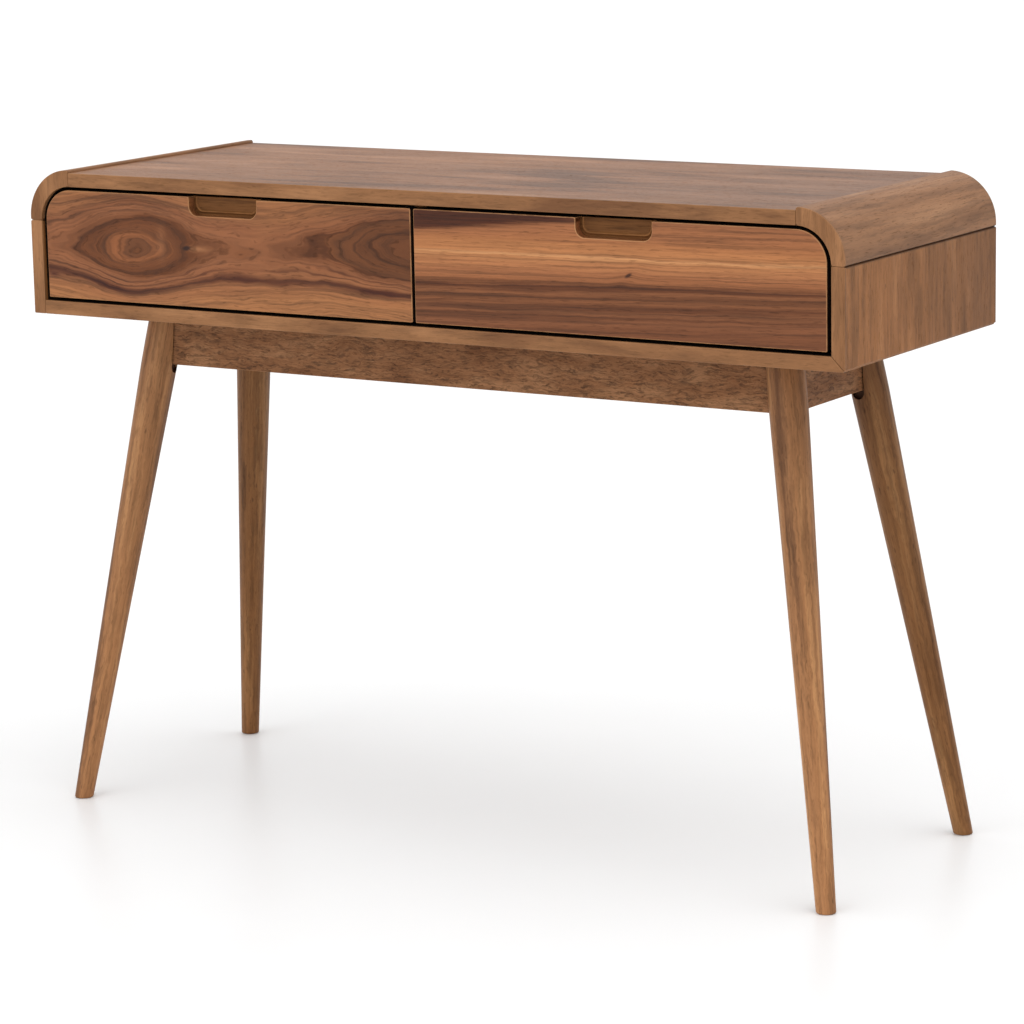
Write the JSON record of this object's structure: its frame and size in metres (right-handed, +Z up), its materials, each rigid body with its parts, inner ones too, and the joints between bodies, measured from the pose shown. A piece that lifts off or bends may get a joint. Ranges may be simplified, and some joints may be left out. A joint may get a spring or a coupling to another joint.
{
  "type": "console table",
  "caption": "Console table with a round-cornered wooden case, two drawers with finger notches and four splayed, tapered round legs joined by rails.",
  "frame": {"origin": "on the floor, under the middle of the case", "axes": "+X along the length to the viewer's right, the drawers open towards -Y, +Z up"},
  "size_m": [1.2, 0.42, 0.8558],
  "materials": {
    "panel_walnut": "satin lacquer",
    "corner_walnut": "satin lacquer",
    "side_walnut": "satin lacquer",
    "back_veneer": "satin lacquer",
    "drawer_front_left": "satin lacquer",
    "drawer_front_right": "satin lacquer",
    "rail_walnut": "matt",
    "leg_walnut": "satin",
    "block_wood": "raw",
    "pull_wood": "matt",
    "box_wood": "matt lacquer",
    "zinc_steel": "zinc plated",
    "slide_steel": "zinc plated"
  },
  "bodies": {
    "table": {"case_back": "back_veneer", "case_bottom": "panel_walnut", "case_corner_left": "corner_walnut", "case_corner_right": "corner_walnut", "case_divider": "panel_walnut", "case_side_left": "side_walnut", "case_side_right": "side_walnut", "case_top": "panel_walnut", "corner_block_back_left": "block_wood", "corner_block_back_right": "block_wood", "corner_block_front_left": "block_wood", "corner_block_front_right": "block_wood", "frame_screw_back_left": "zinc_steel", "frame_screw_back_right": "zinc_steel", "frame_screw_front_left": "zinc_steel", "frame_screw_front_right": "zinc_steel", "leg_back_left": "leg_walnut", "leg_back_right": "leg_walnut", "leg_bolt_back_left": "zinc_steel", "leg_bolt_back_right": "zinc_steel", "leg_bolt_front_left": "zinc_steel", "leg_bolt_front_right": "zinc_steel", "leg_front_left": "leg_walnut", "leg_front_right": "leg_walnut", "rail_back": "rail_walnut", "rail_front": "rail_walnut", "rail_left": "rail_walnut", "rail_right": "rail_walnut", "drawer_left_outer_slide_fixed": "slide_steel", "drawer_left_inner_slide_fixed": "slide_steel", "drawer_right_outer_slide_fixed": "slide_steel", "drawer_right_inner_slide_fixed": "slide_steel"},
    "drawer_left": {"drawer_left_box_back": "box_wood", "drawer_left_box_floor": "box_wood", "drawer_left_box_front": "box_wood", "drawer_left_box_inner_side": "box_wood", "drawer_left_box_outer_side": "box_wood", "drawer_left_front": "drawer_front_left", "drawer_left_inner_slide_moving": "slide_steel", "drawer_left_outer_slide_moving": "slide_steel", "drawer_left_pull_backing": "pull_wood", "drawer_left_screw_1": "zinc_steel", "drawer_left_screw_2": "zinc_steel"},
    "drawer_left_slide_middles": {"drawer_left_outer_slide_middle": "slide_steel", "drawer_left_inner_slide_middle": "slide_steel"},
    "drawer_right": {"drawer_right_box_back": "box_wood", "drawer_right_box_floor": "box_wood", "drawer_right_box_front": "box_wood", "drawer_right_box_inner_side": "box_wood", "drawer_right_box_outer_side": "box_wood", "drawer_right_front": "drawer_front_right", "drawer_right_inner_slide_moving": "slide_steel", "drawer_right_outer_slide_moving": "slide_steel", "drawer_right_pull_backing": "pull_wood", "drawer_right_screw_1": "zinc_steel", "drawer_right_screw_2": "zinc_steel"},
    "drawer_right_slide_middles": {"drawer_right_outer_slide_middle": "slide_steel", "drawer_right_inner_slide_middle": "slide_steel"}
  },
  "joints": [
    {"name": "drawer_left_slide", "type": "slide", "parent": "table", "child": "drawer_left", "axis": [0, -1, 0], "range_m": [0, 0.33]},
    {"name": "drawer_left_slide_extension", "type": "slide", "parent": "table", "child": "drawer_left_slide_middles", "axis": [0, -1, 0], "range_m": [0, 0.165]},
    {"name": "drawer_right_slide", "type": "slide", "parent": "table", "child": "drawer_right", "axis": [0, -1, 0], "range_m": [0, 0.33]},
    {"name": "drawer_right_slide_extension", "type": "slide", "parent": "table", "child": "drawer_right_slide_middles", "axis": [0, -1, 0], "range_m": [0, 0.165]}
  ],
  "couplings": [
    {"joint": "drawer_left_slide_extension", "follows": "drawer_left_slide", "ratio": 0.5},
    {"joint": "drawer_right_slide_extension", "follows": "drawer_right_slide", "ratio": 0.5}
  ]
}
